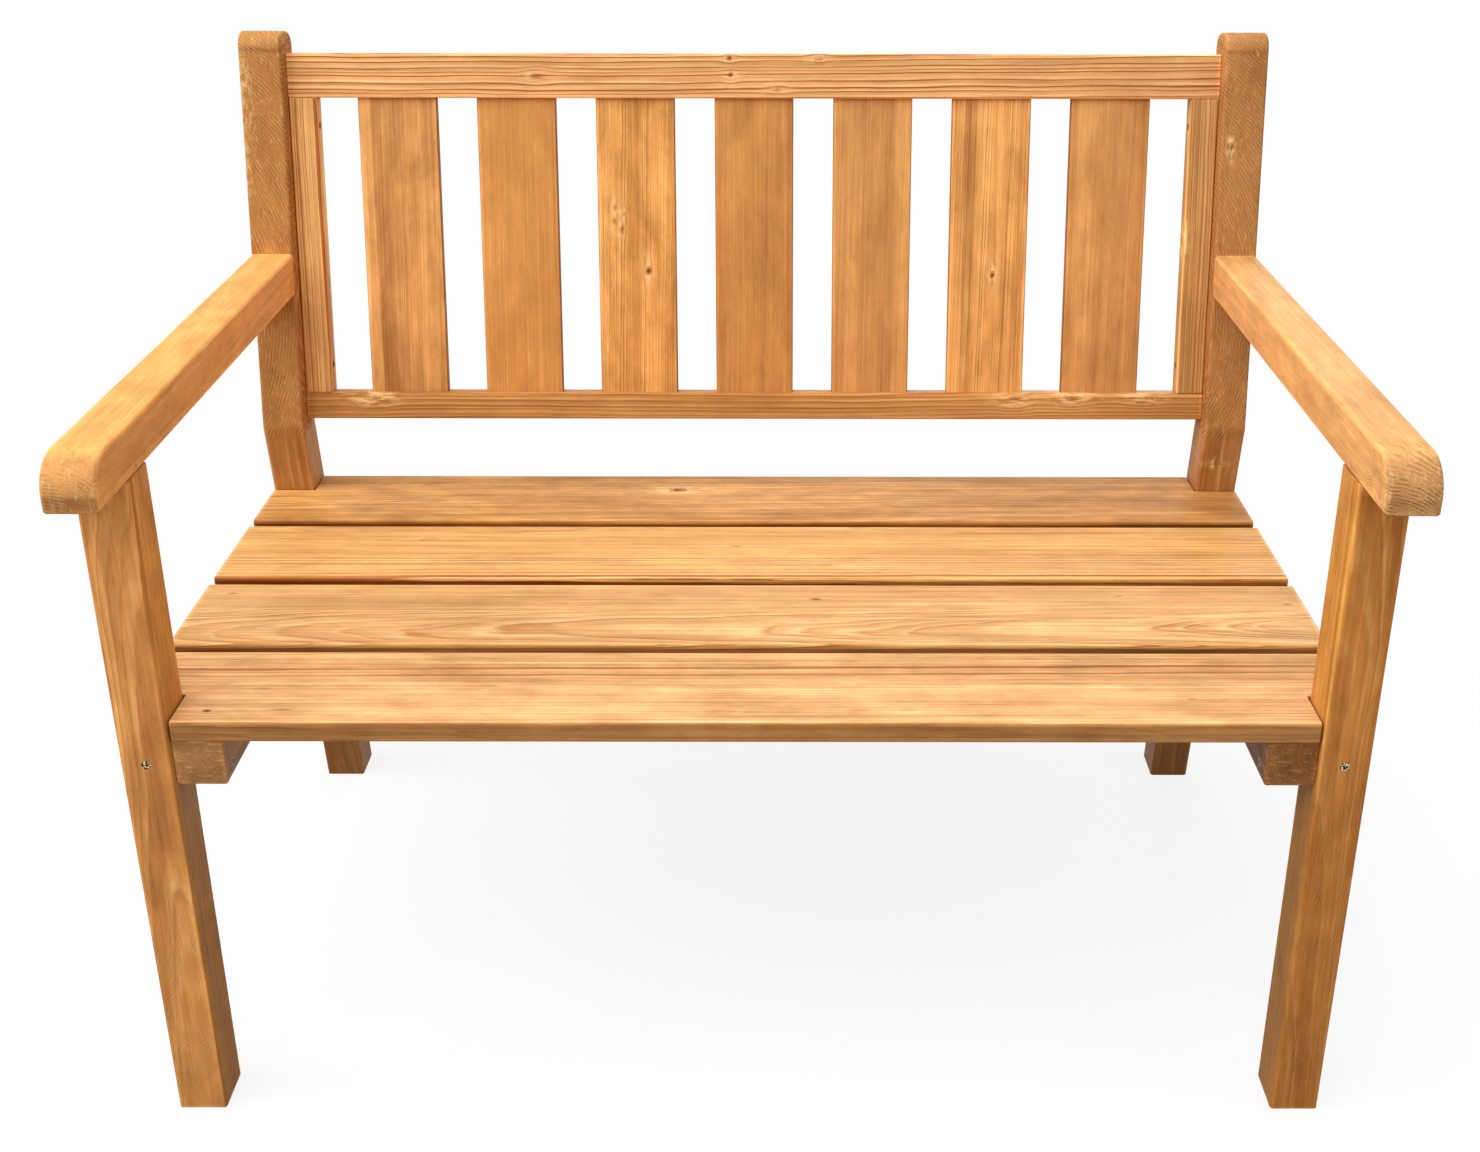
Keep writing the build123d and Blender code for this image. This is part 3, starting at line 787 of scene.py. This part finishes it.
# Rails: painted light on the top rail's faces across the grain, and painted shade on the bottom rail's
timber(
    "back_top_rail", PANEL_ACROSS, 21.0, BROWN, pith=(-0.13, -0.05), tilt=(0.006, 0.0), spacing=0.005,
    wander=0.014, contrast=1.5, patches=0.45, lines=1.3, edge=(1.15, 1.15, 1.15),
    knots=(
        (-0.2335, 0.279, 0.886, 0.005, 0.003, 0.35, 0.9),
        (-0.026, 0.285, 0.905, 0.0028, 0.0028, 1.2, 0.8),
        (-0.025, 0.279, 0.888, 0.0024, 0.0024, 1.2, 1.6),
        (0.069, 0.282, 0.904, 0.004, 0.002, 0.5, 0.8),
        (0.025, 0.277, 0.872, 0.004, 0.002, 0.4, 0.8),
    ),
)
timber(
    "back_bottom_rail", PANEL_ACROSS, 22.0, RUST, pith=(-0.12, -0.03), tilt=(0.004, 0.0), spacing=0.005,
    contrast=0.7, wander=0.016, edge=0.9,
    knots=(
        (-0.424, 0.221, 0.538, 0.006, 0.004, 0.5, 1.8),
        (0.291, 0.221, 0.538, 0.005, 0.004, 0.3, 1.6),
        (0.354, 0.221, 0.54, 0.006, 0.004, 0.4, 1.6),
        (0.433, 0.221, 0.54, 0.006, 0.003, 0.3, 1.6),
    ),
)
# Stiles: painted light lifts their shaded sides across the grain
STILE = {
    "drift": 0.02,
    "spacing": 0.0038,
    "wander": 0.01,
    "edge": (1.24, 1.16, 0.95),
    "lines": 1.3,
}
timber(
    "back_stile_left", PANEL_UP, 33.0, BROWN, pith=(0.12, 0.01), contrast=1.3, **STILE,
    across=((0.0, 0.2), (0.06, 0.95), (0.5, 1.03), (1.0, 0.98)),
)
timber(
    "back_stile_right", PANEL_UP, 36.0, BROWN, pith=(-0.12, 0.01), contrast=0.9, **STILE,
    across=((0.0, 0.98), (0.5, 1.03), (0.94, 0.95), (1.0, 0.2)),
    knots=((0.468, 0.2495, 0.712, 0.005, 0.003, 0.7, 1.6),),
)
# Front legs: painted shade darkens them lower down, and darkens their sides across the grain further lower
# down, under the seat
FRONT_LEG = {
    "tilt": (0.02, 0.03),
    "along": ((0.0, 0.88), (0.35, 0.95), (0.6, 1.02), (1.0, 1.08)),
    "spacing": 0.0045,
    "wander": 0.028,
    "patches": 0.9,
    "lines": 0.8,
    "ends": 0.8,
    "edge_along": ((0.0, 0.72), (0.56, 0.76), (0.64, 1.0), (1.0, 1.0)),
    "saw_middle": (-0.05, -0.2, 0.0),
}
# The left leg's sides across the grain carry painted shade and the right leg's carry painted light, because
# light comes from the left
timber(
    "front_leg_left", ALONG_Z, 41.0, BROWN, pith=(0.02, 0.05), contrast=0.6, edge=(0.77, 0.77, 0.64),
    saw=0.45, saw_zone=(-0.02, -0.14), **FRONT_LEG,
)
timber(
    "front_leg_right", ALONG_Z, 42.0, BROWN, pith=(-0.03, 0.05), contrast=0.5, edge=(1.03, 1.18, 1.16),
    saw=0.4, saw_zone=(0.1, 0.0), **FRONT_LEG,
)

# Along a rear leg, painted shade darkens it lower down under the seat; the last three stops are a dark line
# of painted shade in the crease and the paler round top above it
REAR_LEG = {
    "spacing": 0.0045,
    "ends": 0.3,
    "drift": 0.006,
    "lines": 0.7,
    "patches": 0.8,
    "saw": 1.0,
    "saw_middle": (0.16, -0.24, 0.0),
    "saw_zone": (0.045, 0.055),
}
timber(
    "rear_leg_left", POST, 51.0, BROWN, pith=(0.05, 0.06), contrast=0.35, **REAR_LEG,
    along=(
        (0.0, 0.73), (0.3, 0.83), (0.46, 1.02), (0.55, 1.08), (0.575, 1.0),
        (0.982, 1.0), (0.985, 0.66), (0.988, 1.22),
    ),
    knots=(
        (-0.540, 0.2585, 0.871, 0.010, 0.004, 0.0, 0.8),
        (-0.543, 0.247, 0.797, 0.008, 0.002, 0.0, 0.9),
    ),
)
timber(
    "rear_leg_right", POST, 52.0, BROWN, pith=(0.05, 0.07), contrast=0.4, **REAR_LEG,
    along=(
        (0.0, 0.78), (0.3, 0.86), (0.46, 0.98), (0.55, 1.05), (0.575, 0.98),
        (0.982, 1.0), (0.985, 0.8), (0.988, 1.22),
    ),
    knots=(
        (0.510, 0.249, 0.817, 0.0035, 0.002, 1.0, 1.8),
        (0.514, 0.205, 0.466, 0.002, 0.0016, 0.6, 1.4),
        (0.520, 0.205, 0.466, 0.0008, 0.013, 0.5, 0.5),
    ),
)
ARM = {
    "tilt": (0.02, 0.0),
    "spacing": 0.006,
    "contrast": 0.2,
    "patches": 0.9,
    "lines": 0.35,
    "saw_pitch": 0.0024,
    "saw_middle": (-0.25, 0.02, -0.06),
    "saw_zone": (-0.225, -0.25),
}
# Armrests: painted shade darkens the lower part of each round nose
timber("armrest_left", ARM_WAY, 61.0, BROWN, pith=(0.05, 0.03), ends=0.6, underside_shade=0.6, saw=0.9, **ARM)
timber(
    "armrest_right", ARM_WAY, 62.0, UMBER, pith=(0.05, -0.03), ends=0.5, underside_shade=0.2, saw=2.4, **ARM,
    knots=((0.532, -0.092, 0.702, 0.003, 0.0012, 0.5, 0.2),),
)
BEARER = {"pith": (0.01, 0.03), "contrast": 0.3}
timber("seat_bearer_left", ALONG_Y, 71.0, BROWN, ends=0.5, patches=1.1, **BEARER)
timber("seat_bearer_right", ALONG_Y, 72.0, BROWN, ends=0.25, patches=0.9, **BEARER)
for seed, side in ((81.0, "left"), (82.0, "right")):
    timber("side_rail_" + side, ALONG_Y, seed, BROWN, pith=(0.05, 0.03))
# Slats: painted shade darkens both ends of each, where it meets the rails, and their sides across the grain
SLAT = {
    "pith": (0.2, 0.03),
    "tilt": (0.02, 0.0),
    "spacing": 0.0034,
    "edge": 0.5,
    "wander": 0.006,
    "drift": 0.02,
    "along": ((0.0, 0.5), (0.016, 0.96), (0.5, 1.0), (0.98, 0.98), (1.0, 0.4)),
}
SLATS = (
    {
        "contrast": 0.3,
        "patches": 1.1,
        "lines": 0.8,
        "across": (
            (0.0, 1.22), (0.15, 1.26), (0.17, 0.84), (0.4, 0.9), (0.66, 0.98), (0.72, 1.08), (1.0, 1.06),
        ),
    },
    {
        "contrast": 0.2,
        "patches": 0.6,
        "lines": 0.6,
        "across": ((0.0, 1.02), (0.5, 0.98), (0.92, 1.0), (0.95, 0.85)),
    },
    {
        "contrast": 0.6,
        "patches": 1.1,
        "lines": 0.9,
        "across": (
            (0.0, 1.06), (0.38, 1.1), (0.42, 0.92), (0.52, 0.95), (0.55, 1.12), (0.94, 1.05), (0.97, 0.85),
        ),
        "knots": (
            (-0.152, 0.26, 0.746, 0.0036, 0.0022, 0.6, 1.4),
            (-0.143, 0.26, 0.739, 0.003, 0.002, 0.5, 1.4),
            (-0.153, 0.26, 0.731, 0.003, 0.002, 0.6, 1.4),
            (-0.145, 0.26, 0.722, 0.0034, 0.0022, 0.5, 1.4),
            (-0.116, 0.249, 0.678, 0.0036, 0.003, 1.2, 0.9),
        ),
    },
    {
        "contrast": 0.2,
        "patches": 0.75,
        "lines": 0.6,
        "across": ((0.0, 0.96), (0.4, 0.93), (0.86, 0.98), (0.9, 1.08), (0.95, 0.8)),
    },
    {
        "contrast": 0.2,
        "patches": 0.65,
        "lines": 0.6,
        "across": (
            (0.0, 0.98), (0.3, 1.02), (0.36, 0.94), (0.76, 0.92), (0.8, 1.14), (0.94, 1.16), (0.97, 0.9),
        ),
    },
    {
        "contrast": 0.6,
        "patches": 0.9,
        "lines": 1.1,
        "across": (
            (0.0, 1.04), (0.16, 1.08), (0.18, 0.82), (0.3, 0.9),
            (0.36, 1.14), (0.58, 1.02), (0.64, 1.2), (0.68, 1.0),
        ),
        "knots": ((0.262, 0.249, 0.674, 0.0036, 0.0022, 1.2, 1.6),),
    },
    {
        "contrast": 0.2,
        "patches": 0.75,
        "lines": 0.6,
        "across": (
            (0.0, 0.82), (0.1, 1.05), (0.3, 1.1), (0.42, 0.97), (0.7, 1.04), (0.9, 0.98), (0.96, 0.82),
        ),
    },
)
SLAT_SEED = 91.0
for index, look in enumerate(SLATS):
    timber("back_slat_%d" % (index + 1), PANEL_UP, SLAT_SEED + index, BROWN, **SLAT, **look)
timber("seat_centre_batten", ALONG_Y, 99.0, BROWN, pith=(0.05, 0.03))


def make_steel(name, dull, bright, stained=None):
    """Screw steel clouded between two tones; a third stains over the heads inside the frame."""
    material = bpy.data.materials.new(name)
    shader = empty_shader(material)
    source = shader.add("ShaderNodeTexCoord").outputs["Object"]
    cloud = shader.noise(source, **STEEL_NOISE).outputs[0]
    color = shader.blend("MIX", shader.step(cloud, *STEEL_CLOUD), dull, bright)
    metal = 1.0
    if stained:
        metal = shader.step(shader.math("ABSOLUTE", shader.split(source)[0]), *STAIN_END)
        color = shader.blend("MIX", metal, stained, color)
    relief = shader.add(
        "ShaderNodeBump", {"Strength": STEEL_RELIEF, "Distance": STEEL_HEIGHT, "Height": cloud}
    )
    principled = shader.add("ShaderNodeBsdfPrincipled", {
        "Base Color": color,
        "Metallic": metal,
        "Normal": relief.outputs[0],
        "Roughness": shader.total(STEEL_ROUGHNESS, (cloud, STEEL_ROUGH_SWING)),
    })
    shader.add("ShaderNodeOutputMaterial", {"Surface": principled.outputs[0]})
    return material


# The frame screws' bright tone paints glints on their outer heads, and the stile screws' near-black steel is
# painted shade in their counterbores
steels = {
    "frame_screws": make_steel("screw_steel", srgb(48, 32, 18), srgb(244, 216, 170), srgb(132, 88, 50)),
    "seat_screws": make_steel("hidden_screw_steel", srgb(52, 36, 22), srgb(150, 120, 86)),
    "stile_screws": make_steel("dark_screw_steel_painted_shade", srgb(24, 18, 14), srgb(48, 36, 28)),
}
steels["batten_screws"] = steels["seat_screws"]
for node, steel in steels.items():
    cover(node, steel)
    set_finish(cad_nodes[node], "screw_steel")
timber("armrest_pegs", ALONG_X, 5.0, BROWN, pith=(0.0, 0.0), spacing=0.001)
for node, obj in cad_nodes.items():
    if "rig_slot" not in obj:
        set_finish(obj, "peg_wood" if node == "armrest_pegs" else "stained_softwood")


# Studio


def make_floor():
    """Pale floor that keeps a soft shadow near the settle and fades into the white surround."""
    bpy.ops.mesh.primitive_plane_add(size=FLOOR_SIZE)
    floor = bpy.context.object
    floor.name = "floor"
    material = bpy.data.materials.new("floor_white")
    shader = empty_shader(material)
    away = shader.vector("LENGTH", shader.add("ShaderNodeTexCoord").outputs["Object"])
    seen = shader.seen()
    share = shader.product(seen, shader.step(away, *FLOOR_FADE, to_low=FLOOR_NEAR))
    glow = shader.add("ShaderNodeEmission", {"Color": WHITE, "Strength": 1.0})
    paper = shader.add("ShaderNodeBsdfDiffuse", {"Color": shader.blend("MIX", seen, FLOOR_TONE, WHITE)})
    mix = shader.add("ShaderNodeMixShader", {0: share, 1: paper.outputs[0], 2: glow.outputs[0]})
    shader.add("ShaderNodeOutputMaterial", {"Surface": mix.outputs[0]})
    floor.data.materials.append(material)


def make_world():
    """Soft white surround: white to the camera and in reflections, a plain level on the object."""
    world = bpy.data.worlds.new("surround")
    bpy.context.scene.world = world
    shader = empty_shader(world)
    strength = shader.total(WORLD_LEVEL, (shader.seen(), 1.0 - WORLD_LEVEL))
    back = shader.add("ShaderNodeBackground", {"Color": WHITE, "Strength": strength})
    shader.add("ShaderNodeOutputWorld", {"Surface": back.outputs[0]})


def make_lamp(name, place, target, size, power):
    """Round soft lamp that points at its target."""
    lamp = bpy.data.lights.new(name, "AREA")
    lamp.shape = "DISK"
    lamp.size = size
    lamp.energy = power
    lamp.color = LAMP_COLOR
    obj = bpy.data.objects.new(name, lamp)
    bpy.context.scene.collection.objects.link(obj)
    obj.location = place
    obj.rotation_euler = (Vector(target) - Vector(place)).to_track_quat("-Z", "Y").to_euler()


def make_camera():
    """Camera at the photograph's viewpoint."""
    yaw, pitch, roll = (math.radians(angle) for angle in (CAMERA_YAW, CAMERA_PITCH, CAMERA_ROLL))
    forward = Vector((math.sin(yaw) * math.cos(pitch), math.cos(yaw) * math.cos(pitch), -math.sin(pitch)))
    right = Vector((math.cos(yaw), -math.sin(yaw), 0))
    down = forward.cross(right)
    right, down = (
        math.cos(roll) * right + math.sin(roll) * down,
        -math.sin(roll) * right + math.cos(roll) * down,
    )
    data = bpy.data.cameras.new("photo_camera")
    data.sensor_width = SENSOR_WIDTH
    data.lens = FOCAL_PIXELS / PHOTO_WIDTH * SENSOR_WIDTH
    data.shift_x = (PHOTO_WIDTH / 2 - PRINCIPAL_X) / PHOTO_WIDTH
    data.shift_y = (PRINCIPAL_Y - PHOTO_HEIGHT / 2) / PHOTO_WIDTH
    data.clip_start = CLIP_START
    data.clip_end = CLIP_END
    camera = bpy.data.objects.new("photo_camera", data)
    bpy.context.scene.collection.objects.link(camera)
    turn = Matrix([right, -down, -forward]).transposed().to_4x4()
    camera.matrix_world = Matrix.Translation(CAMERA_PLACE) @ turn
    bpy.context.scene.camera = camera


make_floor()
make_world()
for name, lamp in LAMPS.items():
    make_lamp(name, **lamp)
make_camera()
bpy.context.scene.view_settings.view_transform = "Standard"
